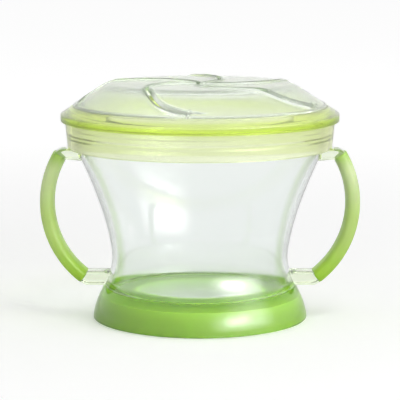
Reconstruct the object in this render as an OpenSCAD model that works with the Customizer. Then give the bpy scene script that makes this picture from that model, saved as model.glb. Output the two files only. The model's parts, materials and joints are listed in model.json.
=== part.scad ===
// Toddler snack cup: clear waisted cup with two soft-grip handles, a soft non-slip base ring and
// a push-on lid whose top is five soft spiral flaps that a small hand can push through.
// Upright on the table: Z is up, the origin is the middle of the base, the handles lie along X.

/* [Cup] */
// Height of the cup's mouth above the table
cup_h = 73; // [66:0.5:90]
// Height of the straight collar, from the top of the flare up to the mouth
straight_h = 9; // [8.5:0.1:12]
// Outer radius of the waist
waist_r = 32.1; // [29:0.1:36]
// Height of the waist
waist_z = 23; // [20:0.5:28]
// Outer radius of the foot skirt at the table
foot_r = 39.2; // [36:0.1:44]
// Rounding of the foot skirt's lower edge
foot_round = 0.6; // [0.3:0.1:1]
// Thickness of the cup wall
cup_wall = 1.8; // [1.4:0.1:2.4]
// Height of the underside of the floor
floor_z = 8.6; // [6:0.1:10]
// Thickness of the floor
floor_t = 2; // [1.5:0.1:3]
// Fillet between the floor and the wall inside
floor_fillet = 3; // [1:0.5:5]
// How far the bead round the mouth stands out for the lid to snap over
rim_bead = 0.4; // [0.2:0.05:0.6]
// Height of that bead
rim_bead_h = 2.2; // [1.6:0.1:3]

/* [Base ring] */
// Radius of the open middle of the base ring
base_hole_r = 22.7; // [16:0.1:28]
// How far the soft ring stands below the foot skirt
base_stand = 0.6; // [0.3:0.1:1.2]
// Bevel round the lower edge of its open middle
base_bevel = 1; // [0.5:0.1:2]

/* [Handles] */
// Distance from the cup's axis to the outermost point of a handle
handle_reach = 58.4; // [57:0.1:66]
// Thickness of a grip, measured outwards from the cup
grip_t = 5.4; // [4.5:0.1:7]
// Width of a grip, front to back
grip_w = 10.6; // [8:0.1:14]
// Roundness of a grip's section, where 2 is an ellipse and larger is squarer
grip_round = 2.6; // [2:0.1:4]
// Thickness of the clear strap inside a grip
core_t = 2.6; // [1.6:0.1:3.4]
// Width of the clear strap inside a grip
core_w = 6; // [4:0.1:7]
// Height of the middle of a grip's lower end
grip_low_z = 15.5; // [14:0.1:19]
// Length of the clear lower neck, from the cup wall to the grip's end
low_neck_l = 8.6; // [6:0.1:11]
// Where a grip's upper end lies between the cup wall (0) and the handle's reach (1)
top_lean = 0.45; // [0.3:0.01:0.6]
// Height of a clear neck where it leaves the cup
neck_h = 4.4; // [3.6:0.1:5]
// How much deeper the lower neck is than the upper one
neck_extra = 0.8; // [0:0.1:1.5]
// Length of the slanted outer corner of a neck
neck_slant = 2.3; // [1.5:0.1:3]
// How far a neck's faces lie inside the grip's faces
neck_inset = 0.4; // [0.2:0.1:0.8]
// Gap between the upper neck and the lid skirt
neck_gap = 0.5; // [0.3:0.1:1]

/* [Lid ring] */
// Outer radius of the lid's rim band
rim_r = 50.5; // [48:0.1:54]
// Height of the rim band
rim_band_h = 2.7; // [1.8:0.1:3.5]
// How far the rim band's top stands above the cup's mouth
rim_rise = 2.5; // [2:0.1:4]
// How far the rim band stands out past the top of the skirt
rim_ledge = 1.6; // [1:0.1:2.4]
// How far the skirt reaches down over the cup
skirt_drop = 9.8; // [9:0.1:12]
// Wall of the skirt at its lower edge
skirt_wall = 1.5; // [1.2:0.1:2]
// How much the skirt widens from its lower edge to the rim band
skirt_flare = 0.9; // [0:0.1:1.2]
// Gap all round between the skirt and the bead of the cup's mouth
skirt_gap = 0.5; // [0.3:0.05:0.8]
// Gap between the skirt's own snap bead and the bead of the mouth as the lid slides on
snap_gap = 0.15; // [0.1:0.05:0.3]
// Depth of the middle of the snap bead below the mouth
snap_depth = 5; // [4.4:0.1:6]
// Height of the snap bead's flat, and of the ramp on each side of it
snap_h = 0.7; // [0.5:0.1:1]

/* [Soft flaps] */
// Height of the flat top above the rim band's top
crown_h = 11; // [8:0.5:14]
// Width of the slope, from the rim's edge in to the crest
slope_w = 17; // [15:0.5:19]
// How far the soft collar's bonded edge lies in from the rim's edge
seat_in = 4.5; // [3.5:0.1:5.5]
// How far the lid ring's tongue under the soft collar stays clear of the slits' ends
seat_clear = 0.4; // [0.2:0.1:0.8]
// Thickness of the soft collar and flaps
flap_t = 1.5; // [1.2:0.1:2]
// Number of flaps round the lid
flap_n = 5; // [5:1:5]
// Width of the slit between two flaps
slit_w = 1; // [0.8:0.1:1.4]
// Width of the soft collar left between the slits' ends and the bonded edge
slit_land = 1.8; // [1.2:0.1:3]
// Turn of a slit from the middle out to its end, in degrees
slit_turn = 77.4; // [66:0.1:84]
// Extra turn of a slit over its last stretch, in degrees
slit_hook = 8; // [0:1:10]
// Length of that last stretch
slit_hook_l = 6.8; // [4:0.1:8]
// Angle of the first slit where it leaves the middle, in degrees
slit_start = 35; // [0:1:71]
// Radius of the small opening where the flaps' tips meet
tip_r = 2.8; // [2:0.1:4]
// Width of the bead along each edge of a slit
bead_w = 1.5; // [1:0.1:2]
// Height of that bead above the flap
bead_h = 0.5; // [0.3:0.1:0.8]
// Distance of a flap's fold line in from the crest
fold_in = 5.5; // [5:0.1:7]
// Angle of a flap's fold line, counted on from the start of its slit, in degrees
fold_turn = 110; // [106:1:114]
// Gap between a flap's rolled root and the collar
fold_gap = 0.3; // [0.2:0.05:0.5]
// Gap between a flap's outer edge and the crest, where the edge swings out as the flap folds
edge_gap = 1.2; // [1:0.1:1.8]

/* [Hidden] */
$fn = 96;

STEP_Z = 3.2;               // height of one step along the cup's curved wall
STEP_R = 2.4;               // length of one step along a slit
FLARE = 1.5;                // power of the upper flare: higher stays slim for longer
FILLET_MID = 0.3;           // how near the floor fillet's middle point lies to its corner
SIDES = 28;                 // points round a grip's section
CORE_RUN = 1;               // degrees by which the strap runs on past a grip's ends
ROOT_SHARE = 0.43;          // a flap's rolled root is a little thinner than the flap
PEAK = 1.5;                 // a flap's plan peaks this many times its radius out
PAST = 1;                   // how far a cutter runs past a face
CLEAR_PP = [0.90, 0.94, 0.93, 0.45];
GREEN_PP = [0.84, 0.93, 0.55, 0.6];
GREEN_TPE = [0.56, 0.78, 0.20];
CLEAR_TPE = [0.90, 0.96, 0.88, 0.5];

// The lid's radii step inwards from the rim, and the cup's mouth fits inside the skirt
skirt_out_r = rim_r - rim_ledge - skirt_flare;   // at the skirt's lower edge
skirt_in_r = skirt_out_r - skirt_wall;
mouth_r = skirt_in_r - skirt_gap;                // outer radius of the mouth's bead
collar_line_r = mouth_r - rim_bead;              // cup's outer radius just under that bead
snap_r = mouth_r + snap_gap;
seat_r = rim_r - seat_in;                        // the soft collar's bonded edge
slit_end_r = seat_r - slit_land;
tongue_r = slit_end_r + seat_clear;
crest_r = rim_r - slope_w;
fold_r = crest_r - fold_in;

flare_top_z = cup_h - straight_h;
floor_top_z = floor_z + floor_t;
skirt_z = cup_h - skirt_drop;                    // lower edge of the lid skirt
snap_z = cup_h - snap_depth;
rim_top_z = cup_h + rim_rise;
crown_z = rim_top_z + crown_h;                   // top face of the flat crown
slope = crown_h / slope_w;                       // rise of the collar for each millimetre inwards
hinge_z = crown_z - flap_t / 2;                  // a flap folds about its own mid-thickness
root_r = ROOT_SHARE * flap_t;
bead_stop_r = fold_r - flap_t;                   // a flap's beads end short of its fold line
pitch = 360 / flap_n;
lid_w = 2 * rim_r;

// ---------- cup wall ----------

// Outer radius of the cup at height z: an S-shaped foot below the waist, a flare above it
function cup_r(z) = z < waist_z
    ? waist_r + (foot_r - waist_r) * (1 + cos(180 * z / waist_z)) / 2
    : waist_r + (collar_line_r - waist_r)
        * pow(min(1, (z - waist_z) / (flare_top_z - waist_z)), FLARE);

// Points of that wall, moved inwards by inset, from height a up to height b
function wall_line(a, b, inset) =
    let (n = max(2, ceil((b - a) / STEP_Z)))
    [for (i = [0 : n]) let (z = a + (b - a) * i / n) [cup_r(z) - inset, z]];

function flip(points) = [for (i = [len(points) - 1 : -1 : 0]) points[i]];

function scaled_pow(v, p) = sign(v) * pow(abs(v), p);

// ---------- handle arc ----------

// The arc's middle line runs through both grip ends and touches the reach line.
arc_x = handle_reach - grip_t / 2;
top_z = skirt_z - neck_gap - neck_h / 2;
top_in_x = cup_r(top_z) + grip_t / 2;
top_x = top_in_x + top_lean * (arc_x - top_in_x);
low_z = grip_low_z;
low_x = cup_r(low_z) + low_neck_l;
qa = 1 / (arc_x - top_x) - 1 / (arc_x - low_x);
qb = -2 * top_z / (arc_x - top_x) + 2 * low_z / (arc_x - low_x);
qc = top_z * top_z / (arc_x - top_x) - low_z * low_z / (arc_x - low_x) - top_x + low_x;
arc_z = (-qb - sqrt(qb * qb - 4 * qa * qc)) / (2 * qa);
arc_cx = (arc_x + top_x - pow(top_z - arc_z, 2) / (arc_x - top_x)) / 2;
arc_r = arc_x - arc_cx;
top_a = atan2(top_z - arc_z, top_x - arc_cx);
low_a = atan2(low_z - arc_z, low_x - arc_cx);

function on_arc(r, a) = [arc_cx + r * cos(a), arc_z + r * sin(a)];

// Bends a section, drawn as distance outwards and width, along the handle arc
module along_arc(from_a, to_a)
    translate([arc_cx, 0, arc_z])
        rotate([90, 0, 0])
            rotate([0, 0, from_a])
                rotate_extrude(angle = to_a - from_a)
                    translate([arc_r, 0])
                        children();

module grip_section()
    polygon([for (i = [0 : SIDES - 1]) let (a = 360 * i / SIDES)
        [grip_t / 2 * scaled_pow(cos(a), 2 / grip_round),
         grip_w / 2 * scaled_pow(sin(a), 2 / grip_round)]]);

module core_strap() along_arc(low_a - CORE_RUN, top_a + CORE_RUN)
    square([core_t, core_w], center = true);

// Clear neck: a flat-sided block from inside the wall, at wall_x, out to the grip's end at angle a
module neck(wall_x, a, near_z, far_z) {
    neck_w = grip_w - 2 * neck_inset;
    half_t = grip_t / 2 - neck_inset;
    inner = on_arc(arc_r - half_t, a);
    outer = on_arc(arc_r + half_t, a);
    translate([0, neck_w / 2, 0])
        rotate([90, 0, 0])
            linear_extrude(neck_w)
                polygon([[wall_x, near_z], inner, outer, [outer[0] - neck_slant, far_z],
                         [wall_x, far_z]]);
}

// Clear strap of one handle, on the +X side
module handle_frame() {
    core_strap();
    neck(waist_r, top_a, top_z - neck_h / 2, top_z + neck_h / 2);
    neck(waist_r - cup_wall, low_a, low_z + neck_h / 2, low_z - neck_h / 2 - neck_extra);
}

module grip() color(GREEN_TPE)
    difference() {
        along_arc(low_a, top_a) grip_section();
        core_strap();
    }

module cup_outside() rotate_extrude()
    polygon(concat(
        [[0, base_stand], [foot_r - foot_round, base_stand]],
        wall_line(base_stand + foot_round, flare_top_z, 0),
        [[collar_line_r, cup_h - rim_bead_h - rim_bead], [mouth_r, cup_h - rim_bead_h],
         [mouth_r, cup_h - rim_bead], [mouth_r - rim_bead, cup_h], [0, cup_h]]));

module cup_inside() {
    fillet_z = floor_top_z + floor_fillet;
    fillet_r = cup_r(fillet_z) - cup_wall;
    near = FILLET_MID * floor_fillet;
    rotate_extrude()
        polygon(concat(
            [[0, floor_top_z], [fillet_r - floor_fillet, floor_top_z],
             [fillet_r - near, floor_top_z + near]],
            wall_line(fillet_z, flare_top_z, cup_wall),
            [[collar_line_r - cup_wall, cup_h + PAST], [0, cup_h + PAST]]));
}

// The hollow of the foot that holds the base ring
module foot_hollow() rotate_extrude()
    polygon(concat(
        [[0, base_stand - PAST], [cup_r(base_stand) - cup_wall, base_stand - PAST]],
        wall_line(base_stand, floor_z, cup_wall),
        [[0, floor_z]]));

module cup() color(CLEAR_PP)
    difference() {
        union() {
            cup_outside();
            handle_frame();
            mirror([1, 0, 0]) handle_frame();
        }
        cup_inside();
        foot_hollow();
    }

module right_grip() grip();

module left_grip() mirror([1, 0, 0]) grip();

module base_ring() color(GREEN_TPE)
    rotate_extrude()
        polygon(concat(
            [[base_hole_r, base_bevel], [base_hole_r + base_bevel, 0],
             [cup_r(base_stand) - cup_wall - base_stand, 0]],
            wall_line(base_stand, floor_z, cup_wall),
            [[base_hole_r, floor_z]]));

// ---------- lid ----------

// Top of the lid at radius r: the sloping collar, then the flat crown
function lid_z(r) = crown_z - max(0, r - crest_r) * slope;

module lid_ring() color(GREEN_PP)
    rotate_extrude()
        polygon([
            [skirt_in_r, skirt_z], [skirt_out_r, skirt_z],
            [rim_r - rim_ledge, rim_top_z - rim_band_h],
            [rim_r, rim_top_z - rim_band_h], [rim_r, rim_top_z],
            [seat_r, lid_z(seat_r)], [seat_r, lid_z(seat_r) - flap_t],
            [tongue_r, lid_z(tongue_r) - flap_t], [tongue_r, cup_h],
            [skirt_in_r, cup_h], [skirt_in_r, snap_z + 1.5 * snap_h],
            [snap_r, snap_z + snap_h / 2], [snap_r, snap_z - snap_h / 2],
            [skirt_in_r, snap_z - 1.5 * snap_h]]);

// Angle of slit k at radius r: a steady spiral that hooks round at its outer end
function slit_a(k, r) = slit_start + pitch * k + slit_turn * r / slit_end_r
    + slit_hook * pow(max(0, (r - slit_end_r + slit_hook_l) / slit_hook_l), 3);

// How far one millimetre across the slit at radius r turns, in degrees
function across(r) =
    let (h = slit_w / 10, turn = (slit_a(0, r + h) - slit_a(0, r - h)) / (2 * h))
    180 / PI / (r * cos(atan(r * turn * PI / 180)));

// Point beside slit k at radius r, off millimetres across from its middle line
function beside(k, r, off) =
    let (a = slit_a(k, r) + off * across(r))
    [r * cos(a), r * sin(a)];

function slit_radii(from_r, to_r) =
    let (n = ceil((to_r - from_r) / STEP_R))
    [for (i = [0 : n]) from_r + (to_r - from_r) * i / n];

// Strip beside slit k, between two distances from its middle line
module strip(k, near, far, from_r, to_r)
    polygon(concat(
        [for (r = slit_radii(from_r, to_r)) beside(k, r, near)],
        flip([for (r = slit_radii(from_r, to_r)) beside(k, r, far)])));

// Plan of flap k, from its tip out past radius to_r, with its edges off from the slits' middles
module flap_plan(k, off, to_r) {
    peak_a = slit_a(k, to_r) + pitch / 2;
    polygon(concat(
        [for (r = slit_radii(tip_r, to_r)) beside(k, r, off)],
        [PEAK * to_r * [cos(peak_a), sin(peak_a)]],
        flip([for (r = slit_radii(tip_r, to_r)) beside(k + 1, r, -off)])));
}

// Keeps of the children what lies in radius r, on the middle's side of a line at distance d
// that is square to flap k's fold direction
module within_fold(k, d, r) intersection() {
    children();
    circle(r = r);
    rotate(slit_start + pitch * k + fold_turn)
        translate([d - lid_w, -rim_r])
            square([lid_w, lid_w]);
}

module flap(k) color(CLEAR_TPE) {
    edge_r = crest_r - edge_gap;
    translate([0, 0, crown_z - flap_t])
        linear_extrude(flap_t)
            within_fold(k, fold_r, edge_r)
                flap_plan(k, slit_w / 2, crest_r + PAST);
    translate([0, 0, crown_z])
        linear_extrude(bead_h)
            within_fold(k, bead_stop_r, edge_r) {
                strip(k, slit_w / 2, slit_w / 2 + bead_w, tip_r, crest_r + PAST);
                strip(k + 1, -slit_w / 2 - bead_w, -slit_w / 2, tip_r, crest_r + PAST);
            }
    // rolled root along the fold line
    intersection() {
        rotate([0, 0, slit_start + pitch * k + fold_turn])
            translate([fold_r, 0, hinge_z])
                rotate([90, 0, 0])
                    cylinder(r = root_r, h = lid_w, center = true);
        translate([0, 0, crown_z - flap_t - PAST])
            linear_extrude(flap_t + 2 * PAST)
                within_fold(k, fold_r + flap_t, edge_r)
                    flap_plan(k, slit_w / 2, crest_r + PAST);
    }
}

// The collar's section between two heights, both counted from its top face
module collar_shell(low, high) rotate_extrude()
    polygon([
        [fold_r, crown_z + low], [crest_r, crown_z + low],
        [seat_r, lid_z(seat_r) + low], [seat_r, lid_z(seat_r) + high],
        [crest_r, crown_z + high], [fold_r, crown_z + high]]);

// Bonded soft collar: the slope round the crown and what lies outside the fold lines
module flap_collar() color(CLEAR_TPE)
    difference() {
        union() {
            collar_shell(-flap_t, 0);
            intersection() {
                collar_shell(-flap_t / 2, bead_h);
                linear_extrude(crown_z + PAST)
                    for (k = [0 : flap_n - 1])
                        strip(k, -slit_w / 2 - bead_w, slit_w / 2 + bead_w, fold_r, slit_end_r);
            }
        }
        linear_extrude(crown_z + PAST)
            for (k = [0 : flap_n - 1]) {
                strip(k, -slit_w / 2, slit_w / 2, tip_r, slit_end_r);
                within_fold(k, fold_r + root_r + fold_gap, crest_r)
                    flap_plan(k, 0, crest_r + PAST);
            }
    }

cup();
left_grip();
right_grip();
base_ring();
lid_ring();
flap_collar();
flap(0);  // flap_1
flap(1);  // flap_2
flap(2);  // flap_3
flap(3);  // flap_4
flap(4);  // flap_5
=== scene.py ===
"""Looks of a toddler snack cup: a clear cup with soft green handles and base, and a lid of soft flaps.

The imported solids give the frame. Each class builds the finished pieces of one sub-assembly, in metres,
with Z up, the middle of the base at the origin and the handles along X.
"""

import json
import logging
import math
from dataclasses import dataclass
from enum import Enum
from functools import reduce
from typing import Sequence

import bmesh
import bpy
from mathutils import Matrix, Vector

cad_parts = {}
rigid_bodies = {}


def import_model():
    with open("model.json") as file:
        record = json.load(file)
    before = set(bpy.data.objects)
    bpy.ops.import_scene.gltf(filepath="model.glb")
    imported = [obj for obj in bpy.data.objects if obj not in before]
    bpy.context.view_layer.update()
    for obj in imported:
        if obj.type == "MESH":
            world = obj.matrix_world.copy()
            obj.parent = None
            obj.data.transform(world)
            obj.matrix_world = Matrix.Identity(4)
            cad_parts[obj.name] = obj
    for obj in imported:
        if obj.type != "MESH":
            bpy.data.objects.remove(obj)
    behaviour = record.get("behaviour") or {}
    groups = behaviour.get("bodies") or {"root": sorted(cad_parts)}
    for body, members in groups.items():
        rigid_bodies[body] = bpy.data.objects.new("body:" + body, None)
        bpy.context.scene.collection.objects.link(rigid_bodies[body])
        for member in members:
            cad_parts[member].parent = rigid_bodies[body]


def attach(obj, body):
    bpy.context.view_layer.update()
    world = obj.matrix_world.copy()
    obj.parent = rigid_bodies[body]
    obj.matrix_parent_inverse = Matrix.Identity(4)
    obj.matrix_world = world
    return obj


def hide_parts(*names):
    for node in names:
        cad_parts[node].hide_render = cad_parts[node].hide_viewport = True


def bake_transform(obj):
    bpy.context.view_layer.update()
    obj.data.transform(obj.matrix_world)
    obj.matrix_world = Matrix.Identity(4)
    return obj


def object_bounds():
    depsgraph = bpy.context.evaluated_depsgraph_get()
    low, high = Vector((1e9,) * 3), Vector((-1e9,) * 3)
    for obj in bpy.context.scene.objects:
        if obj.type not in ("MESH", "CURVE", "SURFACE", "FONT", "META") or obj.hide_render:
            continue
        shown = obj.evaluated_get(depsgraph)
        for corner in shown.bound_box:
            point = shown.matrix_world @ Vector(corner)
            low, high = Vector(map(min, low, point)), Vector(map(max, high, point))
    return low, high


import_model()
CAD_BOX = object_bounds()

LOG = logging.getLogger("snack_cup")
MM = 0.001
WHITE = (1, 1, 1, 1)
HAIRLINE = 0.04 * MM      # air left between two clear pieces that touch, so that both render cleanly
BOND = 0.03 * MM          # how far a soft piece that is moulded on sinks into the clear plastic
MERGE = 0.002 * MM        # points nearer than this become one
NOISE_SPAN = (0.3, 0.7)   # where nearly all values of a noise lie
SEGMENTS = 256            # steps round the axis
CORNER_STEPS = 7          # steps along a rounded corner
CORNER_SHARE = 0.48       # the most of a side that a rounded corner takes up
GUARD_SHARE = 0.25        # a round's support points lie this share of its reach outside it
LONG_SIDE = 3             # and only on sides this many times its reach
BEND_SHARE = 0.45         # share of the shorter arm that a neck's bend takes up

Point2 = tuple[float, float]
Point3 = tuple[float, float, float]
Colour = tuple[float, float, float]
Ring = list[Vector]
Tree = bpy.types.NodeTree
Node = bpy.types.Node
Socket = bpy.types.NodeSocket
Source = Node | Socket    # what an input may be linked to: a node stands for its first output
Material = bpy.types.Material
Mesh = bpy.types.Mesh
Piece = bpy.types.Object


class Body(Enum):
    """The moving bodies that a piece may ride on."""

    CUP = "cup_body"
    LID = "lid"


class Slot(Enum):
    """The record's material slots."""

    CLEAR_CUP = "clear_cup"
    SOFT_GRIP = "soft_grip"
    SOFT_BASE = "soft_base"
    TINTED_LID = "tinted_lid"
    SOFT_FLAPS = "soft_flaps"


# node helpers


def add_node(tree: Tree, kind: str, values: dict | None = None, **settings) -> Node:
    """Adds a node to a tree.

    Args:
        tree: The tree.
        kind: The node's class name.
        values: What its inputs are set or linked to, by name or number.
        settings: Its own properties.

    Returns:
        The new node.
    """
    node = tree.nodes.new(kind)
    for name, value in settings.items():
        setattr(node, name, value)
    for key, value in (values or {}).items():
        if isinstance(value, Source):
            tree.links.new(value if isinstance(value, Socket) else value.outputs[0], node.inputs[key])
        else:
            node.inputs[key].default_value = value
    return node


def maths(tree: Tree, operation: str, *values) -> Node:
    """Adds a Math node with its inputs, each a number or a source."""
    return add_node(tree, "ShaderNodeMath", dict(enumerate(values)), operation=operation)


def map_range(tree: Tree, value: Source, start: Point2, end: Point2 = (0.0, 1.0), **settings) -> Node:
    """Adds a Map Range node, from one range to another."""
    values = dict(zip(("From Min", "From Max", "To Min", "To Max"), (*start, *end)))
    return add_node(tree, "ShaderNodeMapRange", {"Value": value, **values}, **settings)


def object_place(tree: Tree) -> Socket:
    """Adds the socket of a point's own place on the object."""
    return add_node(tree, "ShaderNodeTexCoord").outputs["Object"]


def split(tree: Tree, vector: Source) -> dict[str, Socket]:
    """Adds a node that splits a vector, and gives its outputs by X, Y and Z."""
    return add_node(tree, "ShaderNodeSeparateXYZ", {"Vector": vector}).outputs


def off_axis(tree: Tree) -> Socket:
    """Adds the socket of a point's distance from the Z axis."""
    flat = add_node(tree, "ShaderNodeVectorMath", {0: object_place(tree), 1: (1, 1, 0)}, operation="MULTIPLY")
    return add_node(tree, "ShaderNodeVectorMath", {0: flat}, operation="LENGTH").outputs["Value"]


def noise(tree: Tree, place: Source, scale: float, detail: float) -> Node:
    """Adds a Noise Texture."""
    return add_node(tree, "ShaderNodeTexNoise", {"Vector": place, "Scale": scale, "Detail": detail})


def for_rays(tree: Tree, *kinds: str) -> Source:
    """Adds a share that is 1 for the named kinds of ray and 0 for the rest."""
    path = add_node(tree, "ShaderNodeLightPath").outputs
    return reduce(lambda share, other: maths(tree, "MAXIMUM", share, other), [path[kind] for kind in kinds])


def polar(tree: Tree, radius: Source, angle: Source, height: Source) -> Node:
    """Adds the vector of a place at a radius and an angle round the Z axis, and at a height."""
    flat = [maths(tree, "MULTIPLY", radius, maths(tree, way, angle)) for way in ("COSINE", "SINE")]
    return add_node(tree, "ShaderNodeCombineXYZ", {"X": flat[0], "Y": flat[1], "Z": height})


def empty_tree(owner: bpy.types.ID) -> Tree:
    """Turns on the nodes of a material, a world or a lamp.

    Args:
        owner: The material, world or lamp.

    Returns:
        Its tree, emptied.
    """
    owner.use_nodes = True
    owner.node_tree.nodes.clear()
    return owner.node_tree


# finishes


@dataclass(frozen=True)
class Grain:
    """The fine texture that moulding leaves on a surface."""

    scale: float
    depth: float
    roughness: float
    spread: float
    broader: float = 14.0
    details: Point2 = (4.0, 2.0)

    def build(self, tree: Tree) -> tuple[Node, Node]:
        """Adds the grain's nodes.

        Args:
            tree: The material's tree.

        Returns:
            The bumped normal and the roughness.
        """
        place = object_place(tree)
        fine = noise(tree, place, self.scale, self.details[0])
        broad = noise(tree, place, self.scale / self.broader, self.details[1])
        bump = add_node(tree, "ShaderNodeBump", {"Height": fine, "Distance": self.depth})
        span = (self.roughness - self.spread, self.roughness + self.spread)
        return bump, map_range(tree, broad, NOISE_SPAN, span)


@dataclass(frozen=True)
class ClearPlastic:
    """A see-through moulded plastic, tinted by its own depth."""

    name: str
    colour: Colour
    depth_colour: Colour
    density: float
    grain: Grain
    clarity: float = 1.0
    ior: float = 1.49
    shade: float = 0.9
    frost: float = 0.0
    frost_r: float = 0.0
    frost_z: float = 0.0
    painted_edge_colour: Colour | None = None
    edge_z: Point2 = (0.0, 0.0)
    edge_blends: Point2 = (0.3 * MM, 1.4 * MM)

    def edged(self, tree: Tree) -> Socket:
        """Paints a deeper colour along a thick edge: a painted glow for the light that a tinted plastic
        gathers there.

        Args:
            tree: The material's tree.

        Returns:
            The whole colour.
        """
        height = split(tree, object_place(tree))["Z"]
        low, high = self.edge_z
        over = map_range(tree, height, (low - self.edge_blends[0], low))
        under = map_range(tree, height, (high, high - self.edge_blends[1]))
        # the node's colours are its inputs 6 and 7 and its output 2
        return add_node(tree, "ShaderNodeMix", {
            "Factor": maths(tree, "MULTIPLY", over, under), 6: (*self.colour, 1),
            7: (*self.painted_edge_colour, 1)}, data_type="RGBA").outputs[2]

    def frosted(self, tree: Tree, rough: Source) -> Node:
        """Roughens the finish low down near the axis, as a matt floor is.

        Args:
            tree: The material's tree.
            rough: The roughness elsewhere.

        Returns:
            The whole roughness.
        """
        near = maths(tree, "LESS_THAN", off_axis(tree), self.frost_r)
        low = maths(tree, "LESS_THAN", split(tree, object_place(tree))["Z"], self.frost_z)
        return maths(tree, "MULTIPLY_ADD", maths(tree, "MULTIPLY", near, low), self.frost, rough)

    def build(self) -> Material:
        """Builds the material.

        Returns:
            The material.
        """
        material = bpy.data.materials.new(self.name)
        tree = empty_tree(material)
        normal, rough = self.grain.build(tree)
        if self.frost > 0:
            rough = self.frosted(tree, rough)
        body = add_node(tree, "ShaderNodeBsdfPrincipled", {
            "Base Color": self.edged(tree) if self.painted_edge_colour else (*self.colour, 1),
            "Roughness": rough, "IOR": self.ior, "Transmission Weight": self.clarity, "Normal": normal})
        # a lamp's light passes through, a little tinted, so that the piece throws only a faint shadow
        passing = add_node(tree, "ShaderNodeBsdfTransparent", {
            "Color": (*(self.shade * c for c in self.colour), 1)})
        mix = add_node(tree, "ShaderNodeMixShader", {
            0: for_rays(tree, "Is Shadow Ray"), 1: body, 2: passing})
        depth = add_node(tree, "ShaderNodeVolumeAbsorption", {
            "Color": (*self.depth_colour, 1), "Density": self.density})
        add_node(tree, "ShaderNodeOutputMaterial", {"Surface": mix, "Volume": depth})
        return material


@dataclass(frozen=True)
class SoftRubber:
    """A soft, slightly glowing rubber with painted light: its colour is lighter high up, where light falls,
    and deepens towards its foot; it may add a painted glow near the axis.
    """

    name: str
    # top, middle, foot and end are colours by height that paint light and shade onto the rubber
    top: Colour
    middle: Colour
    foot: Colour
    low_z: float
    high_z: float
    grain: Grain
    end: Colour | None = None
    lit_r: float = 0.0
    painted_glow: float = 0.0
    painted_glow_fade: float = 1.2 * MM
    middle_at: float = 0.45
    end_at: float = 0.84
    cloud_scale: float = 90.0
    cloud_detail: float = 3.0
    cloud_depth: float = 0.03
    glow: float = 0.35
    glow_colour: Colour = (0.7, 1.0, 0.35)
    glow_depth: float = 1.6 * MM
    ior: float = 1.45
    coat: float = 0.12
    coat_roughness: float = 0.25

    def build(self) -> Material:
        """Builds the material.

        Returns:
            The material.
        """
        material = bpy.data.materials.new(self.name)
        tree = empty_tree(material)
        normal, rough = self.grain.build(tree)
        place = object_place(tree)
        # painted light: the colour follows height, lighter at the top and deeper towards the foot
        share = map_range(tree, split(tree, place)["Z"], (self.low_z, self.high_z))
        painted_light_ramp = add_node(tree, "ShaderNodeValToRGB", {"Fac": share})
        colours = painted_light_ramp.color_ramp
        colours.interpolation = "EASE"
        colours.elements[0].color = (*self.foot, 1)
        colours.elements[1].color = (*self.top, 1)
        colours.elements.new(self.middle_at).color = (*self.middle, 1)
        # on the grips a pale stop high up is a painted sheen, and the darker end above it is painted shade
        if self.end:
            colours.elements[-1].position = self.end_at
            colours.elements.new(1.0).color = (*self.end, 1)
        cloud = noise(tree, place, self.cloud_scale, self.cloud_detail)
        tone = map_range(tree, cloud, NOISE_SPAN, (1 - self.cloud_depth, 1 + self.cloud_depth))
        mottled_painted_light = add_node(tree, "ShaderNodeVectorMath", {0: painted_light_ramp, "Scale": tone}, operation="SCALE")
        values = {
            "Base Color": mottled_painted_light, "Roughness": rough, "Normal": normal, "IOR": self.ior,
            "Subsurface Weight": self.glow, "Subsurface Radius": self.glow_colour,
            "Subsurface Scale": self.glow_depth,
            "Coat Weight": self.coat, "Coat Roughness": self.coat_roughness}
        if self.painted_glow > 0:
            # painted glow: an emission near the axis stands in for light that comes through the rubber to the
            # hole's face
            span = (self.lit_r + self.painted_glow_fade, self.lit_r)
            glow = map_range(tree, off_axis(tree), span, (0.0, self.painted_glow))
            values |= {"Emission Color": mottled_painted_light, "Emission Strength": glow}
        body = add_node(tree, "ShaderNodeBsdfPrincipled", values)
        add_node(tree, "ShaderNodeOutputMaterial", {"Surface": body})
        return material


CLEAR_PP = ClearPlastic(
    "clear cup plastic", (0.955, 0.972, 0.963), (0.55, 0.80, 0.70), 16.0,
    Grain(420.0, 0.004 * MM, 0.07, 0.03), frost=0.26, frost_r=31 * MM, frost_z=11.4 * MM)
NECK_PP = ClearPlastic(
    "clear handle neck plastic", (0.94, 0.96, 0.92), (0.60, 0.80, 0.20), 30.0,
    Grain(420.0, 0.006 * MM, 0.12, 0.04))
# the lid's edge colour is a painted glow along the rim band
TINTED_PP = ClearPlastic(
    "tinted lid plastic", (0.975, 0.985, 0.89), (0.82, 0.92, 0.0), 118.0,
    Grain(380.0, 0.004 * MM, 0.09, 0.03), clarity=0.88, ior=1.42,
    painted_edge_colour=(0.78, 0.90, 0.26), edge_z=(72.7 * MM, 75.6 * MM))
CLEAR_TPE = ClearPlastic(
    "soft clear flap rubber", (0.992, 1.0, 0.985), (0.35, 0.90, 0.0), 26.0,
    Grain(300.0, 0.010 * MM, 0.16, 0.04), clarity=0.9, ior=1.40)
# the grips' colours by height: a pale painted sheen high up, deeper towards the foot, painted shade at the
# top end
GRIP_TPE = SoftRubber(
    "soft green grip rubber", (0.62, 0.75, 0.37), (0.50, 0.68, 0.19), (0.36, 0.61, 0.03),
    14 * MM, 62 * MM, Grain(900.0, 0.02 * MM, 0.42, 0.06), end=(0.36, 0.58, 0.08))
# the base ring's colours by height: lighter at the lit top, painted shade towards the foot, and a painted
# glow on the hole's face
BASE_TPE = SoftRubber(
    "soft green base rubber", (0.31, 0.57, 0.03), (0.24, 0.45, 0.015), (0.21, 0.41, 0.008),
    0.0, 9 * MM, Grain(800.0, 0.02 * MM, 0.38, 0.06), lit_r=23.4 * MM, painted_glow=1.0)


# mesh helpers


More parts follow.
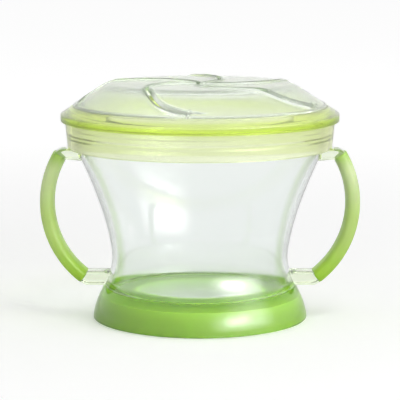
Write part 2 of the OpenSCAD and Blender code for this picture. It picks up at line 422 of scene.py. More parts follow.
def spaced(start: float, end: float, count: int) -> list[float]:
    """Gives the numbers that divide the way from start to end into count steps, with both ends."""
    return [start + (end - start) * i / count for i in range(count + 1)]


def signed_power(value: float, power: float) -> float:
    """Raises a number's size to a power and keeps its sign."""
    return math.copysign(abs(value) ** power, value)


def finish_piece(name: str, mesh: Mesh, material: Material) -> Piece:
    """Puts a mesh in the scene as a smooth piece.

    Args:
        name: The piece's name.
        mesh: Its mesh, in place.
        material: Its material.

    Returns:
        The piece.
    """
    mesh.name = name
    mesh.materials.clear()
    mesh.materials.append(material)
    mesh.polygons.foreach_set("use_smooth", [True] * len(mesh.polygons))
    piece = bpy.data.objects.new(name, mesh)
    bpy.context.scene.collection.objects.link(piece)
    return piece


def tidy_mesh(mesh: Mesh) -> Mesh:
    """Merges doubles and turns the faces outwards.

    Args:
        mesh: The mesh to tidy.

    Returns:
        The same mesh.
    """
    work = bmesh.new()
    work.from_mesh(mesh)
    bmesh.ops.remove_doubles(work, verts=work.verts, dist=MERGE)
    bmesh.ops.recalc_face_normals(work, faces=work.faces)
    work.to_mesh(mesh)
    work.free()
    return mesh


def skin_rings(rings: Sequence[Ring]) -> Mesh:
    """Makes a closed mesh from closed rings of as many points each, with a fan at both ends.

    Args:
        rings: The rings, in order along the piece.

    Returns:
        The mesh.
    """
    count = len(rings[0])
    points = [p for ring in rings for p in ring]
    faces = []
    for row in range(len(rings) - 1):
        a, b = row * count, (row + 1) * count
        for i in range(count):
            j = (i + 1) % count
            faces.append((a + i, a + j, b + j, b + i))
    for ring, first in ((rings[0], 0), (rings[-1], (len(rings) - 1) * count)):
        middle = len(points)
        points.append(sum(ring, Vector()) / count)
        faces += [(first + i, first + (i + 1) % count, middle) for i in range(count)]
    mesh = bpy.data.meshes.new("skin")
    mesh.from_pydata(points, [], faces)
    return tidy_mesh(mesh)


def skin_sheet(tops: Sequence[Ring], bottoms: Sequence[Ring]) -> Mesh:
    """Makes a closed mesh from the rows of a top face and of a bottom face, which meet at their sides.

    Args:
        tops: Rows of points of the top face.
        bottoms: As many rows of as many points of the bottom face.

    Returns:
        The mesh.
    """
    rows, count = len(tops), len(tops[0])
    points = [p for row in (*tops, *bottoms) for p in row]
    under = rows * count
    faces = []
    for row in range(rows):
        for a in range(row * count, (row + 1) * count - 1):
            if row < rows - 1:
                faces.append((a, a + 1, a + 1 + count, a + count))
                faces.append(tuple(under + n for n in (a, a + count, a + 1 + count, a + 1)))
            if row in (0, rows - 1):
                faces.append((a, a + 1, under + a + 1, under + a))
    mesh = bpy.data.meshes.new("skin")
    mesh.from_pydata(points, [], faces)
    return tidy_mesh(mesh)


def round_corners(corners: Sequence[Point3], closed: bool) -> list[Point2]:
    """Rounds the corners of an outline.

    Args:
        corners: The outline's points, each with its corner radius.
        closed: Whether the outline closes on itself.

    Returns:
        The rounded outline, with its first point repeated at the end where it is closed.
    """
    line = []
    for i, (x, y, radius) in enumerate(corners):
        if radius <= 0 or (not closed and i in (0, len(corners) - 1)):
            line.append((x, y))
            continue
        here = Vector((x, y))
        before = Vector(corners[i - 1][:2]) - here
        after = Vector(corners[(i + 1) % len(corners)][:2]) - here
        turn = math.pi - before.angle(after)
        reach = min(radius * math.tan(turn / 2), CORNER_SHARE * min(before.length, after.length))
        start = here + before.normalized() * reach
        end = here + after.normalized() * reach
        # a support point outside each end of the round keeps the flats' shading flat
        if before.length > LONG_SIDE * reach:
            line.append(tuple(start + before.normalized() * GUARD_SHARE * reach))
        for t in spaced(0.0, 1.0, CORNER_STEPS):
            line.append(tuple((1 - t) ** 2 * start + 2 * t * (1 - t) * here + t ** 2 * end))
        if after.length > LONG_SIDE * reach:
            line.append(tuple(end + after.normalized() * GUARD_SHARE * reach))
    if closed:
        line.append(line[0])
    return line


def bend_line(start: Vector, corner: Vector, end: Vector, t: float) -> Vector:
    """A point along a line with one rounded bend.

    Args:
        start: Where the line starts.
        corner: Where it bends.
        end: Where it ends.
        t: How far along it the point lies, up to 1.

    Returns:
        The point.
    """
    first, second = (corner - start).length, (end - corner).length
    soft = BEND_SHARE * min(first, second)
    run = t * (first + second)
    if run < first - soft:
        return start.lerp(corner, run / first)
    if run > first + soft:
        return corner.lerp(end, (run - first) / second)
    share = (run - first + soft) / (2 * soft)
    low = corner + (start - corner).normalized() * soft
    high = corner + (end - corner).normalized() * soft
    return (1 - share) ** 2 * low + 2 * share * (1 - share) * corner + share ** 2 * high


def place_piece(piece: Piece, body: Body, slot: Slot, *nodes: str) -> None:
    """Makes a piece ride on a body and stand for its nodes.

    Args:
        piece: The piece.
        body: What it rides on.
        slot: Not used.
        nodes: The nodes that it replaces.
    """
    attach(piece, body.value)
    if nodes:
        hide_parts(*nodes)
    LOG.info("%s: %d faces on %s", piece.name, len(piece.data.polygons), body.value)


# Geometry Nodes trees


class PieceTree:
    """A Geometry Nodes tree that makes a plain mesh with its material from a starting mesh."""

    def __init__(self, name: str, inputs: dict[str, str]) -> None:
        """Starts the tree.

        Args:
            name: The tree's name.
            inputs: The kind of each named input, besides the starting mesh and the material.
        """
        self.tree = bpy.data.node_groups.new(name, "GeometryNodeTree")
        face = self.tree.interface
        self.ids = {}
        for label, kind in {"Start": "Geometry", **inputs, "Material": "Material"}.items():
            socket = face.new_socket(name=label, in_out="INPUT", socket_type="NodeSocket" + kind)
            self.ids[label] = socket.identifier
        face.new_socket(name="Mesh", in_out="OUTPUT", socket_type="NodeSocketGeometry")
        self.given = add_node(self.tree, "NodeGroupInput").outputs

    def close(self, geometry: Node) -> None:
        """Ends the tree in real geometry with the material."""
        real = add_node(self.tree, "GeometryNodeRealizeInstances", {"Geometry": geometry})
        add_node(self.tree, "NodeGroupOutput", {"Mesh": add_node(self.tree, "GeometryNodeSetMaterial", {
            "Geometry": real, "Material": self.given["Material"]})})

    def run(self, name: str, mesh: Mesh, material: Material, values: dict[str, float]) -> Piece:
        """Runs the tree and keeps the result as a plain piece.

        Args:
            name: The piece's name.
            mesh: What the tree starts from.
            material: The piece's material.
            values: The tree's other inputs.

        Returns:
            The piece.
        """
        source = bpy.data.objects.new(name + " source", mesh)
        bpy.context.scene.collection.objects.link(source)
        modifier = source.modifiers.new("tree", "NODES")
        modifier.node_group = self.tree
        for label, value in {**values, "Material": material}.items():
            modifier[self.ids[label]] = value
        result = source.evaluated_get(bpy.context.evaluated_depsgraph_get())
        made = bpy.data.meshes.new_from_object(result)
        bpy.data.objects.remove(source)
        return finish_piece(name, tidy_mesh(made), material)


class Lathe(PieceTree):
    """Turns an outline round the Z axis."""

    def __init__(self) -> None:
        """Builds the tree, which starts from the outline's points."""
        super().__init__("turned outline", {"Segments": "Int"})
        tree, outline = self.tree, self.given["Start"]
        size = add_node(tree, "GeometryNodeAttributeDomainSize", {"Geometry": outline}, component="MESH")
        count = size.outputs["Point Count"]
        grid = add_node(tree, "GeometryNodeMeshGrid", {
            "Size X": 1.0, "Size Y": 1.0,
            "Vertices X": maths(tree, "ADD", self.given["Segments"], 1.0), "Vertices Y": count})
        place = split(tree, add_node(tree, "GeometryNodeInputPosition"))
        angle = maths(tree, "MULTIPLY", maths(tree, "ADD", place["X"], 0.5), math.tau)
        last = maths(tree, "SUBTRACT", count, 1.0)
        row = maths(tree, "ROUND", maths(tree, "MULTIPLY", maths(tree, "ADD", place["Y"], 0.5), last))
        sample = add_node(tree, "GeometryNodeSampleIndex", {
            "Geometry": outline, "Value": add_node(tree, "GeometryNodeInputPosition"), "Index": row},
            data_type="FLOAT_VECTOR", domain="POINT")
        found = split(tree, sample)
        turned = polar(tree, found["X"], angle, found["Z"])
        shaped = add_node(tree, "GeometryNodeSetPosition", {"Geometry": grid, "Position": turned})
        self.close(add_node(tree, "GeometryNodeMergeByDistance", {"Geometry": shaped, "Distance": MERGE / 2}))

    def turn(self, name: str, corners: Sequence[Point3], material: Material, closed: bool = True) -> Piece:
        """Turns an outline of radius and height.

        Args:
            name: The piece's name.
            corners: The outline's corners with their corner radii, anticlockwise.
            material: The piece's material.
            closed: Whether the outline closes on itself rather than on the axis.

        Returns:
            The piece.
        """
        mesh = bpy.data.meshes.new(name + " outline")
        mesh.from_pydata([(r, 0, z) for r, z in round_corners(corners, closed)], [], [])
        return self.run(name, mesh, material, {"Segments": SEGMENTS})


class RoundRow(PieceTree):
    """Sets copies of a mesh in an even row round the Z axis, each turned to its place."""

    def __init__(self) -> None:
        """Builds the tree, which starts from one copy."""
        super().__init__("copies round the axis", {
            "Count": "Int", "Radius": "Float", "Height": "Float", "First Angle": "Float"})
        tree, given = self.tree, self.given
        step = maths(tree, "DIVIDE", math.tau, given["Count"])
        index = add_node(tree, "GeometryNodeInputIndex")
        turn = maths(tree, "ADD", maths(tree, "MULTIPLY", step, index), given["First Angle"])
        spot = polar(tree, given["Radius"], turn, given["Height"])
        points = add_node(tree, "GeometryNodePoints", {"Count": given["Count"], "Position": spot})
        euler = add_node(tree, "ShaderNodeCombineXYZ", {"Z": turn})
        self.close(add_node(tree, "GeometryNodeInstanceOnPoints", {
            "Points": points, "Instance": given["Start"], "Rotation": euler}))


# cup


@dataclass
class Cup:
    """The clear cup: foot skirt, floor, waisted wall and mouth bead."""

    lathe: Lathe
    height: float = 73 * MM
    straight_h: float = 9 * MM
    waist_r: float = 32.1 * MM
    waist_z: float = 23 * MM
    foot_r: float = 39.2 * MM
    foot_lift: float = 0.6 * MM
    wall: float = 1.8 * MM
    floor_z: float = 8.6 * MM
    floor_t: float = 2 * MM
    floor_fillet: float = 3 * MM
    fillet_lean: float = 0.2 * MM
    bead: float = 0.4 * MM
    bead_h: float = 2.2 * MM
    bead_round: float = 0.3 * MM
    mouth_r: float = 46 * MM
    lip_round: float = 0.6 * MM
    edge_round: float = 0.5 * MM
    flare: float = 1.5
    step: float = 0.9 * MM
    margin: float = 1 * MM

    @property
    def line_r(self) -> float:
        """Outer radius of the straight collar under the mouth's bead."""
        return self.mouth_r - self.bead

    def radius(self, z: float) -> float:
        """Outer radius of the wall: an S-shaped foot below the waist, a flare above it.

        Args:
            z: Height of the place.

        Returns:
            The radius there.
        """
        if z < self.waist_z:
            swing = (1 + math.cos(math.pi * z / self.waist_z)) / 2
            return self.waist_r + (self.foot_r - self.waist_r) * swing
        rise = (z - self.waist_z) / (self.height - self.straight_h - self.waist_z)
        return self.waist_r + (self.line_r - self.waist_r) * min(1.0, rise) ** self.flare

    def wall_line(self, low: float, high: float, inset: float) -> list[Point3]:
        """Points of the wall from one height to another, inset from its outer face, with no corner radius."""
        count = max(2, math.ceil(abs(high - low) / self.step))
        return [(self.radius(z) - inset, z, 0.0) for z in spaced(low, high, count)]

    def build(self) -> None:
        """Builds the cup's shell from its section, anticlockwise from the axis."""
        wall, lift, edge, margin = self.wall, self.foot_lift, self.edge_round, self.margin
        top, flare_z, line_r = self.height, self.height - self.straight_h, self.line_r
        floor_top = self.floor_z + self.floor_t
        fillet_z = floor_top + self.floor_fillet
        fillet_r = self.radius(fillet_z) - wall - self.fillet_lean
        corners = [(0.0, self.floor_z, 0.0), (self.radius(self.floor_z) - wall, self.floor_z, edge)]
        corners += self.wall_line(self.floor_z - margin, lift + margin, wall)
        corners += [(self.radius(lift) - wall, lift, edge), (self.radius(lift), lift, edge)]
        corners += self.wall_line(lift + margin, flare_z, 0.0)
        corners += [
            (line_r, top - self.bead_h - self.bead, self.bead_round),
            (self.mouth_r, top - self.bead_h, self.bead_round), (self.mouth_r, top, self.lip_round),
            (line_r - wall, top, self.lip_round), (line_r - wall, flare_z + 2 * margin, 0.0)]
        corners += self.wall_line(flare_z, fillet_z, wall)
        corners += [(fillet_r, floor_top, self.floor_fillet), (0.0, floor_top, 0.0)]
        shell = self.lathe.turn("cup_shell", corners, CLEAR_PP.build(), closed=False)
        place_piece(shell, Body.CUP, Slot.CLEAR_CUP, "cup")


@dataclass
class BaseRing:
    """The soft ring inside the foot skirt, which stands on the table."""

    cup: Cup
    hole_r: float = 22.7 * MM
    bevel: float = 1 * MM
    foot_rise: float = 0.2 * MM
    wall_low: float = 1.4 * MM

    def build(self) -> None:
        """Builds the ring."""
        cup, edge = self.cup, self.cup.edge_round
        inset = cup.wall - BOND
        top = cup.floor_z + BOND
        foot_r = cup.radius(cup.foot_lift) - inset
        corners = [(self.hole_r, 0.0, self.bevel), (foot_r - cup.foot_lift, 0.0, edge),
                   (foot_r, cup.foot_lift + self.foot_rise, edge)]
        corners += cup.wall_line(self.wall_low, top - cup.margin, inset)
        corners += [(cup.radius(top) - inset, top, edge), (self.hole_r, top, edge)]
        ring = cup.lathe.turn("base_ring_soft", corners, BASE_TPE.build())
        place_piece(ring, Body.CUP, Slot.SOFT_BASE, "base_ring")


# handles


class Side(Enum):
    """The two sides of the cup that have a handle."""

    LEFT = -1
    RIGHT = 1


@dataclass
class Handle:
    """One handle: a soft grip on a clear strap, which shows as a neck at each end."""

    cup: Cup
    skirt_z: float
    side: Side
    rubber: Material
    plastic: Material
    reach: float = 58.4 * MM
    grip_t: float = 5.4 * MM
    grip_w: float = 10.6 * MM
    grip_round: float = 2.6
    low_z: float = 15.5 * MM
    low_neck_l: float = 8.6 * MM
    top_lean: float = 0.45
    neck_h: float = 4.4 * MM
    neck_extra: float = 0.8 * MM
    neck_slant: float = 2.3 * MM
    neck_inset: float = 0.4 * MM
    neck_gap: float = 0.5 * MM
    neck_dip: float = 0.6 * MM
    neck_square: float = 0.35
    neck_steps: int = 26
    neck_points: int = 48
    trim: float = 0.01 * MM
    groove: float = 0.3 * MM
    groove_a: float = 46.0
    groove_w: float = 5.0
    section_points: int = 160
    arc_points: int = 90
    end_round: float = 0.7 * MM
    end_steps: int = 6

    def __post_init__(self) -> None:
        """Works out the arc that the grip follows, which touches the reach line."""
        cup = self.cup
        arc_x = self.reach - self.grip_t / 2
        self.top_z = self.skirt_z - self.neck_gap - self.neck_h / 2
        wall_x = cup.radius(self.top_z) + self.grip_t / 2
        top_x = wall_x + self.top_lean * (arc_x - wall_x)
        low_x = cup.radius(self.low_z) + self.low_neck_l
        near, far = arc_x - top_x, arc_x - low_x
        a = 1 / near - 1 / far
        b = -2 * self.top_z / near + 2 * self.low_z / far
        c = self.top_z ** 2 / near - self.low_z ** 2 / far - top_x + low_x
        self.arc_z = (-b - math.sqrt(b * b - 4 * a * c)) / (2 * a)
        self.arc_cx = (arc_x + top_x - (self.top_z - self.arc_z) ** 2 / near) / 2
        self.arc_r = arc_x - self.arc_cx
        self.top_a = math.atan2(self.top_z - self.arc_z, top_x - self.arc_cx)
        self.low_a = math.atan2(self.low_z - self.arc_z, low_x - self.arc_cx)
        self.name = self.side.name.lower()

    def on_arc(self, r: float, a: float, y: float = 0.0) -> Vector:
        """The point at radius r and angle a of the arc's circle, y from its middle plane."""
        x = self.arc_cx + r * math.cos(a)
        return Vector((self.side.value * x, y, self.arc_z + r * math.sin(a)))

    def grip_ring(self, a: float, inset: float) -> Ring:
        """The grip's section, with a shallow mould line on the front and on the back.

        Args:
            a: Angle along the arc.
            inset: How far it lies inside the full section, towards a rounded end.

        Returns:
            Its ring of points.
        """
        half_t, half_w = self.grip_t / 2 - inset - self.trim, self.grip_w / 2 - inset
        power = 2 / self.grip_round
        ring = []
        for turn in spaced(0.0, math.tau, self.section_points)[:-1]:
            co, si = math.cos(turn), math.sin(turn)
            off = (math.degrees(math.atan2(abs(si), co)) - self.groove_a) / self.groove_w
            dent = max(0.0, self.groove - inset) * math.exp(-off * off)
            out = (half_t - dent) * signed_power(co, power)
            ring.append(self.on_arc(self.arc_r + out, a, (half_w - dent) * signed_power(si, power)))
        return ring

    def build_grip(self) -> None:
        """Builds the soft grip, with rounded ends."""
        edge = self.end_round
        turn = edge / self.arc_r
        low, high = self.low_a + turn, self.top_a - turn
        quarter = spaced(0.0, math.pi / 2, self.end_steps)
        ends = [(edge * (1 - math.sin(q)), turn * math.cos(q)) for q in quarter]
        rings = [self.grip_ring(low - shift, inset) for inset, shift in ends]
        rings += [self.grip_ring(a, 0.0) for a in spaced(low, high, self.arc_points)[1:-1]]
        rings += [self.grip_ring(high + shift, inset) for inset, shift in reversed(ends)]
        grip = finish_piece(self.name + "_grip_soft", skin_rings(rings), self.rubber)
        place_piece(grip, Body.CUP, Slot.SOFT_GRIP, self.name + "_grip")

    def neck_rings(self, a: float, near_z: float, far_z: float) -> list[Ring]:
        """Rings of a neck, from the cup's wall into the end of the grip.

        Args:
            a: Angle of the grip's end.
            near_z: Height of the neck's finger side at the wall.
            far_z: Height of its other side.

        Returns:
            The rings.
        """
        half_t = self.grip_t / 2 - self.neck_inset
        half_w = self.grip_w / 2 - self.neck_inset
        sunk_a = a - self.neck_dip / self.arc_r * math.copysign(1, a)
        inner = self.on_arc(self.arc_r - half_t, sunk_a)
        outer = self.on_arc(self.arc_r + half_t, sunk_a)
        inner.x, outer.x = abs(inner.x), abs(outer.x)
        corner = Vector((outer.x - self.neck_slant, 0, far_z))
        rings = []
        for t in spaced(0.0, 1.0, self.neck_steps):
            near = Vector((self.cup.radius(near_z), 0, near_z)).lerp(inner, t)
            far = bend_line(Vector((self.cup.radius(far_z), 0, far_z)), corner, outer, t)
            ring = []
            for turn in spaced(0.0, math.tau, self.neck_points)[:-1]:
                wide = half_w * signed_power(math.sin(turn), self.neck_square)
                spot = near.lerp(far, 0.5 + 0.5 * signed_power(math.cos(turn), self.neck_square))
                if t == 0:
                    wall = self.cup.radius(spot.z) + HAIRLINE
                    spot.x = math.sqrt(max(0.0, wall * wall - wide * wide))
                ring.append(Vector((self.side.value * spot.x, wide, spot.z)))
            rings.append(ring)
        return rings

    def build_necks(self) -> None:
        """Builds the two clear necks of the strap."""
        half = self.neck_h / 2
        for end, a, near_z, far_z in (
                ("top", self.top_a, self.top_z - half, self.top_z + half),
                ("low", self.low_a, self.low_z + half, self.low_z - half - self.neck_extra)):
            mesh = skin_rings(self.neck_rings(a, near_z, far_z))
            neck = finish_piece(f"{self.name}_{end}_neck", mesh, self.plastic)
            place_piece(neck, Body.CUP, Slot.CLEAR_CUP)


# lid


@dataclass
class Lid:
    """The lid: a tinted hard ring that carries a soft clear collar cut into five spiral flaps."""

    cup: Cup
    rim_r: float = 50.5 * MM
    band_h: float = 2.7 * MM
    rim_rise: float = 2.5 * MM
    ledge: float = 1.6 * MM
    skirt_drop: float = 9.8 * MM
    skirt_wall: float = 1.5 * MM
    skirt_flare: float = 0.9 * MM
    snap_gap: float = 0.15 * MM
    snap_depth: float = 5 * MM
    snap_h: float = 0.7 * MM
    snap_spread: float = 1.5
    crown_h: float = 11 * MM
    slope_w: float = 17 * MM
    seat_in: float = 4.5 * MM
    seat_clear: float = 0.4 * MM
    flap_t: float = 1.5 * MM
    flap_n: int = 5
    slit_w: float = 1 * MM
    slit_land: float = 1.8 * MM
    slit_turn: float = 77.4
    slit_hook: float = 8.0
    slit_hook_l: float = 6.8 * MM
    slit_start: float = 35.0
    lean_step: float = 0.05 * MM
    tip_r: float = 2.8 * MM
    fold_in: float = 5.5 * MM
    fold_turn: float = 110.0
    bend_from: float = 29 * MM
    bend_to: float = 17 * MM
    crest_soft: float = 0.9 * MM
    sag: float = 0.35 * MM
    bond_w: float = 0.9 * MM
    collar_lift: float = 0.25 * MM
    bead_w: float = 1.5 * MM
    bead_h: float = 0.5 * MM
    bead_fade: float = 0.3 * MM
    bead_spread: float = 0.62
    bead_limit: float = 0.8
    petal_round: float = 0.55 * MM
    tip_edge: float = 0.5 * MM
    tip_steps: int = 6
    tip_l: float = 5 * MM
    tip_curl: float = 1.5 * MM
    tip_pull: float = 0.6 * MM
    bar_size: Point3 = (3.4 * MM, 1.2 * MM, 1.3 * MM)
    bar_past: float = 0.5 * MM
    bar_power: Point2 = (0.4, 0.35)
    bar_tip: float = 0.08
    bar_rows: int = 12
    bar_points: int = 24
    # rows along a petal, in millimetres from its tip and from the slits' ends, and the steps between
    tip_rows: tuple[float, ...] = (0.0, 0.15, 0.35, 0.6, 0.9, 1.3, 1.8, 2.4, 3.1, 3.9, 4.8)
    end_rows: tuple[float, ...] = (0.5, 0.42, 0.32, 0.22, 0.14, 0.07, 0.03, 0.0)
    even_rows: int = 44
    bonded_rows: int = 6
    # points across a petal's edge band, as shares of it, and the steps across the middle
    edge_bands: tuple[float, ...] = (0.0, 0.04, 0.11, 0.2, 0.3, 0.4, 0.5, 0.6, 0.7, 0.82, 1.0)
    edge_band: float = 1.3
    band_limit: float = 0.46
    middle_steps: int = 14
    # corner radii of the sections, in millimetres
    ring_rounds: tuple[float, ...] = (0.4, 0.5, 0.5, 0.5, 0.9, 0.3, 0.2, 0.2, 0.3, 0.4, 0.3, 0.3, 0.3, 0.3)
    collar_rounds: tuple[float, ...] = (0.1, 0.2, 0.35, 0.35)

    def __post_init__(self) -> None:
        """Works out the radii and heights that step in from the rim."""
        cup = self.cup
        self.skirt_z = cup.height - self.skirt_drop
        self.skirt_out_r = self.rim_r - self.ledge - self.skirt_flare
        self.skirt_in_r = self.skirt_out_r - self.skirt_wall
        self.seat_r = self.rim_r - self.seat_in
        self.slit_end_r = self.seat_r - self.slit_land
        self.crest_r = self.rim_r - self.slope_w
        self.fold_r = self.crest_r - self.fold_in
        self.rim_top_z = cup.height + self.rim_rise
        self.crown_z = self.rim_top_z + self.crown_h
        self.slope = self.crown_h / self.slope_w
        self.pitch = 360 / self.flap_n
        self.bond_r = self.seat_r - self.bond_w
        self.plastic, self.rubber = TINTED_PP.build(), CLEAR_TPE.build()

    def top_z(self, r: float) -> float:
        """Height of the lid's top at radius r, with a softly rounded crest."""
        past = (r - self.crest_r) / self.crest_soft
        return self.crown_z - self.slope * self.crest_soft * math.log1p(math.exp(past))

    def slit_angle(self, k: int, r: float) -> float:
        """Angle of a slit, in degrees: a steady spiral that hooks round at its outer end.

        Args:
            k: Which slit, from 0.
            r: Radius of the place.

        Returns:
            The angle there.
        """
        inside = min(r, self.slit_end_r)
        last = max(0.0, (inside - self.slit_end_r + self.slit_hook_l) / self.slit_hook_l)
        steady = self.slit_start + self.pitch * k + self.slit_turn * inside / self.slit_end_r
        return steady + self.slit_hook * last ** 3

    def slit_lean(self, r: float) -> float:
        """Angle between the slits and a spoke. Past its end a slit's joint runs straight out.

        Args:
            r: Radius of the place.

        Returns:
            The angle there, in radians.
        """
        inside = min(r, self.slit_end_r)
        short = inside - self.lean_step
        turn = math.radians(self.slit_angle(0, inside) - self.slit_angle(0, short)) / self.lean_step
        past = min(1.0, (r - inside) / (self.bond_r - self.slit_end_r))
        return math.atan(inside * turn) * (1 - past)

    def across(self, r: float) -> float:
        """Degrees that one metre across the slit at radius r turns."""
        return math.degrees(1 / (r * math.cos(self.slit_lean(r))))

    def half_slit(self, r: float) -> float:
        """Half the slits' width at radius r, which rounds off at their outer ends."""
        past = max(0.0, 1 + (r - self.slit_end_r) / (self.slit_w / 2))
        return max(HAIRLINE / 4, self.slit_w / 2 * math.sqrt(max(0.0, 1 - past * past)))

    def build_ring(self) -> None:
        """Builds the hard ring: skirt, rim band and the seat of the soft collar."""
        snap_z, snap_h = self.cup.height - self.snap_depth, self.snap_h
        snap_r = self.cup.mouth_r + self.snap_gap
        seat_r = self.seat_r + HAIRLINE
        seat_z = self.rim_top_z + (self.rim_r - seat_r) * self.slope
        tongue_r = self.slit_end_r + self.seat_clear
        tongue_z = seat_z - self.flap_t - HAIRLINE
        band_z, inside_z = self.rim_top_z - self.band_h, self.cup.height + HAIRLINE
        spots = [
            (self.skirt_in_r, self.skirt_z), (self.skirt_out_r, self.skirt_z),
            (self.rim_r - self.ledge, band_z), (self.rim_r, band_z), (self.rim_r, self.rim_top_z),
            (seat_r, seat_z), (seat_r, tongue_z), (tongue_r, tongue_z + (seat_r - tongue_r) * self.slope),
            (tongue_r, inside_z), (self.skirt_in_r, inside_z),
            (self.skirt_in_r, snap_z + self.snap_spread * snap_h), (snap_r, snap_z + snap_h / 2),
            (snap_r, snap_z - snap_h / 2), (self.skirt_in_r, snap_z - self.snap_spread * snap_h)]
        corners = [(*spot, size * MM) for spot, size in zip(spots, self.ring_rounds)]
        ring = self.cup.lathe.turn("lid_ring_tinted", corners, self.plastic)
        place_piece(ring, Body.LID, Slot.TINTED_LID, "lid_ring")

    def build_collar_edge(self) -> None:
        """Builds the collar's bonded outer edge, a soft bead on the lid ring's seat."""
        inner, outer = self.bond_r, self.seat_r - HAIRLINE / 2
        down, up = -self.flap_t, self.collar_lift
        spots = [(inner, down), (outer, down), (outer, up), (inner, up)]
        corners = [(r, self.top_z(r) + z, size * MM) for (r, z), size in zip(spots, self.collar_rounds)]
        edge = self.cup.lathe.turn("collar_edge", corners, self.rubber)
        place_piece(edge, Body.LID, Slot.SOFT_FLAPS, "flap_collar")

    def petal_radii(self) -> list[float]:
        """Works out where a petal's rows lie.

        Returns:
            Their radii, closer together where the petal's outline turns.
        """
        tip = [self.tip_r + d * MM for d in self.tip_rows]
        near_end = [self.slit_end_r - d * MM for d in self.end_rows]
        even = spaced(tip[-1], near_end[0], self.even_rows)[1:-1]
        bonded = spaced(self.slit_end_r, self.bond_r - HAIRLINE / 2, self.bonded_rows)[1:]
        return tip + even + near_end + bonded

    def petal_row(self, k: int, r: float, thin: float) -> tuple[Ring, Ring]:
        """One row of a petal, from the one slit across to the next.

        Args:
            k: Which petal, from 0.
            r: The row's radius at the slits.
            thin: Share of its thickness that it has, less than 1 at the rounded tip.

        Returns:
            The row's points on the top and on the bottom.
        """
        half, per = self.half_slit(r), self.across(r)
        left = self.slit_angle(k, r) + half * per
        width = (self.slit_angle(k + 1, r) - half * per - left) / per
        band = min(self.edge_band * self.bead_w, self.band_limit * width)
        offsets = [band * share for share in self.edge_bands]
        middle = spaced(band, width - band, self.middle_steps)[1:-1]
        ridge, foot = min(self.bead_w, band) / 2, self.bead_spread * min(self.bead_w, self.bead_limit * width)
        fade = min(1.0, max(0.0, (self.slit_end_r - r) / self.bead_fade))
        tip = max(0.0, 1 - (r - self.tip_r) / self.tip_l) ** 2
        half_t = self.flap_t / 2
        top, bottom = [], []
        for d in offsets + middle + [width - d for d in reversed(offsets)]:
            edge = min(d, width - d)
            here = r + (self.tip_curl * abs(2 * d / width - 1) ** 3 - self.tip_pull) * tip
            fall = self.sag * (1 - min(1.0, here / self.fold_r)) ** 2
            z = self.top_z(here) - fall - half_t
            roll = math.sqrt(max(0.0, 1 - (1 - min(1.0, edge / self.petal_round)) ** 2)) * thin
            bead = fade * self.bead_h * (1 + math.cos(math.pi * min(1.0, abs(edge - ridge) / foot))) / 2
            a = math.radians(left + d * per)
            x, y = here * math.cos(a), here * math.sin(a)
            top.append(Vector((x, y, z + (half_t + bead) * roll)))
            bottom.append(Vector((x, y, z - half_t * roll)))
        return top, bottom

    def build_petal(self, k: int) -> None:
        """Builds a petal, bonded at the rim.

        Args:
            k: Which petal, from 0.
        """
        rows = [self.petal_row(k, self.tip_r - self.tip_edge * math.cos(q), math.sin(q))
                for q in spaced(0.0, math.pi / 2, self.tip_steps)[:-1]]
        rows += [self.petal_row(k, r, 1.0) for r in self.petal_radii()]
        petal = finish_piece(f"petal_{k + 1}", skin_sheet(*zip(*rows)), self.rubber)
        flap = f"flap_{k + 1}"
        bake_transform(petal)
        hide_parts(flap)
        LOG.info("%s: %d faces, bends from the lid to %s", petal.name, len(petal.data.polygons), flap)

    def end_bar(self) -> Mesh:
        """Makes the rounded bar that closes a slit's two beads, on the lid's slope.

        Returns:
            Its mesh, with its middle at the origin.
        """
        length, width, height = (size / 2 for size in self.bar_size)
        lean = self.slit_lean(self.slit_end_r)
        way = Vector((math.cos(lean), math.sin(lean), 0))
        cross = Vector((way.y, -way.x, 0))
        rings = []
        for slope in spaced(-math.pi / 2, math.pi / 2, self.bar_rows):
            reach = length * signed_power(math.sin(slope), self.bar_power[0])
            swell = max(self.bar_tip, abs(math.cos(slope)) ** self.bar_power[1])
            ring = []
            for turn in spaced(0.0, math.tau, self.bar_points)[:-1]:
                spot = cross * reach + way * width * swell * math.cos(turn)
                spot.z = height * swell * math.sin(turn) - self.slope * spot.x
                ring.append(spot)
            rings.append(ring)
        return skin_rings(rings)

    def build_end_bars(self) -> None:
        """Builds the bars at the slits' outer ends."""
        end_r = self.slit_end_r
        bars = RoundRow().run("slit_end_bars", self.end_bar(), self.rubber, {
            "Count": self.flap_n, "Radius": end_r, "Height": self.top_z(end_r),
            "First Angle": math.radians(self.slit_angle(0, end_r)) + self.bar_past / end_r})
        place_piece(bars, Body.LID, Slot.SOFT_FLAPS)

    def build(self) -> None:
        """Builds the ring, the collar's edge, the slits' end bars and the five petals."""
        self.build_ring()
        self.build_collar_edge()
        self.build_end_bars()
        for k in range(self.flap_n):
            self.build_petal(k)


# studio


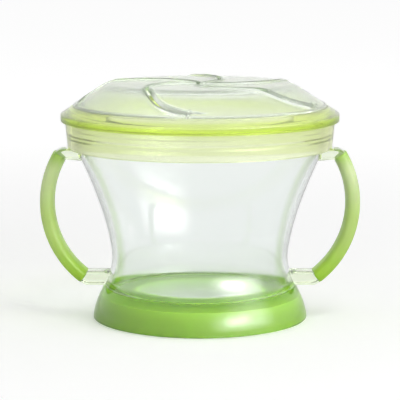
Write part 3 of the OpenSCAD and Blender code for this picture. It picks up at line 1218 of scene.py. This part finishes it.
@dataclass(frozen=True)
class SoftBox:
    """A lamp behind a cloth that fades towards its edges."""

    name: str
    spot: Point3
    size: Point2
    power: float
    sheen_only: bool = False
    fade: Point2 = (0.5, 0.1)
    peak: float = 1.5

    def build(self, target: Vector) -> None:
        """Builds the lamp.

        Args:
            target: What it points at.
        """
        lamp = bpy.data.lights.new(self.name, "AREA")
        lamp.shape = "RECTANGLE"
        lamp.size, lamp.size_y = self.size
        lamp.energy = self.power
        tree = empty_tree(lamp)
        spot = split(tree, add_node(tree, "ShaderNodeNewGeometry").outputs["Parametric"])
        fades = []
        for axis in ("X", "Y"):
            off = maths(tree, "ABSOLUTE", maths(tree, "SUBTRACT", spot[axis], 0.5))
            fades.append(map_range(tree, off, self.fade, (0.0, self.peak), interpolation_type="SMOOTHSTEP"))
        glow = add_node(tree, "ShaderNodeEmission", {
            "Color": WHITE, "Strength": maths(tree, "MULTIPLY", *fades)})
        add_node(tree, "ShaderNodeOutputLight", {"Surface": glow})
        holder = bpy.data.objects.new(self.name, lamp)
        holder.location = self.spot
        holder.rotation_euler = (target - Vector(self.spot)).to_track_quat("-Z", "Y").to_euler()
        holder.visible_diffuse = not self.sheen_only
        bpy.context.scene.collection.objects.link(holder)


@dataclass
class Studio:
    """The pale floor, the soft light and the camera."""

    eye: Point3 = (2.1 * MM, -700 * MM, 148.5 * MM)
    field_w: float = 146 * MM
    sensor: float = 36.0
    floor_r: float = 6.0
    floor_points: int = 96
    floor_grey: float = 0.93
    lit_r: Point2 = (0.05, 0.75)
    floor_glow: Point2 = (0.19, 0.41)
    ambient: float = 0.60
    lamps: tuple[SoftBox, ...] = (
        SoftBox("key_lamp", (0.25, -0.40, 0.88), (0.6, 0.4), 2.2),
        SoftBox("front_box", (0.58, -0.62, 0.36), (0.66, 0.30), 2.2),
        SoftBox("sheen_card", (0.66, -0.55, 0.34), (1.6, 0.66), 9.5, sheen_only=True))

    def build_floor(self) -> None:
        """Builds a round white floor, which shows white away from the part and keeps its shadow."""
        work = bmesh.new()
        bmesh.ops.create_circle(work, cap_ends=True, segments=self.floor_points, radius=self.floor_r)
        mesh = bpy.data.meshes.new("studio_floor")
        work.to_mesh(mesh)
        work.free()
        material = bpy.data.materials.new("white studio floor")
        tree = empty_tree(material)
        matt = add_node(tree, "ShaderNodeBsdfDiffuse", {"Color": (*[self.floor_grey] * 3, 1)})
        glow = map_range(tree, off_axis(tree), self.lit_r, self.floor_glow, interpolation_type="SMOOTHSTEP")
        bright = add_node(tree, "ShaderNodeEmission", {"Color": WHITE, "Strength": glow})
        both = add_node(tree, "ShaderNodeAddShader", {0: matt, 1: bright})
        seen = for_rays(tree, "Is Camera Ray", "Is Transmission Ray")
        mix = add_node(tree, "ShaderNodeMixShader", {0: seen, 1: matt, 2: both})
        add_node(tree, "ShaderNodeOutputMaterial", {"Surface": mix})
        finish_piece("studio_floor", mesh, material)

    def build_world(self) -> None:
        """Builds the even white surroundings."""
        world = bpy.data.worlds.new("white studio")
        bpy.context.scene.world = world
        tree = empty_tree(world)
        soft, white = (add_node(tree, "ShaderNodeBackground", {"Color": WHITE, "Strength": strength})
                       for strength in (self.ambient, 1.0))
        seen = for_rays(tree, "Is Camera Ray", "Is Glossy Ray", "Is Transmission Ray")
        mix = add_node(tree, "ShaderNodeMixShader", {0: seen, 1: soft, 2: white})
        add_node(tree, "ShaderNodeOutputWorld", {"Surface": mix})

    def build_camera(self, target: Vector) -> None:
        """Builds the camera at the photograph's viewing angle, turned to the cup.

        Args:
            target: The point that it looks at.
        """
        way = target - Vector(self.eye)
        data = bpy.data.cameras.new("camera")
        data.sensor_width = self.sensor
        data.lens = self.sensor * way.length / self.field_w
        camera = bpy.data.objects.new("camera", data)
        camera.location = self.eye
        camera.rotation_euler = way.to_track_quat("-Z", "Y").to_euler()
        bpy.context.scene.collection.objects.link(camera)
        bpy.context.scene.camera = camera

    def build(self) -> None:
        """Builds the studio round the part's box."""
        low, high = (Vector(corner) for corner in CAD_BOX)
        middle = (low + high) / 2
        self.build_floor()
        self.build_world()
        for lamp in self.lamps:
            lamp.build(middle)
        self.build_camera(Vector((0.0, 0.0, middle.z)))
        bpy.context.scene.view_settings.view_transform = "Standard"


def main() -> None:
    """Builds the pieces, sub-assembly by sub-assembly."""
    logging.basicConfig(level=logging.INFO, format="%(name)s: %(message)s")
    cup = Cup(Lathe())
    cup.build()
    BaseRing(cup).build()
    lid = Lid(cup)
    grip_rubber, neck_plastic = GRIP_TPE.build(), NECK_PP.build()
    for side in Side:
        handle = Handle(cup, lid.skirt_z, side, grip_rubber, neck_plastic)
        handle.build_grip()
        handle.build_necks()
    lid.build()
    Studio().build()


if __name__ == "__main__":
    main()
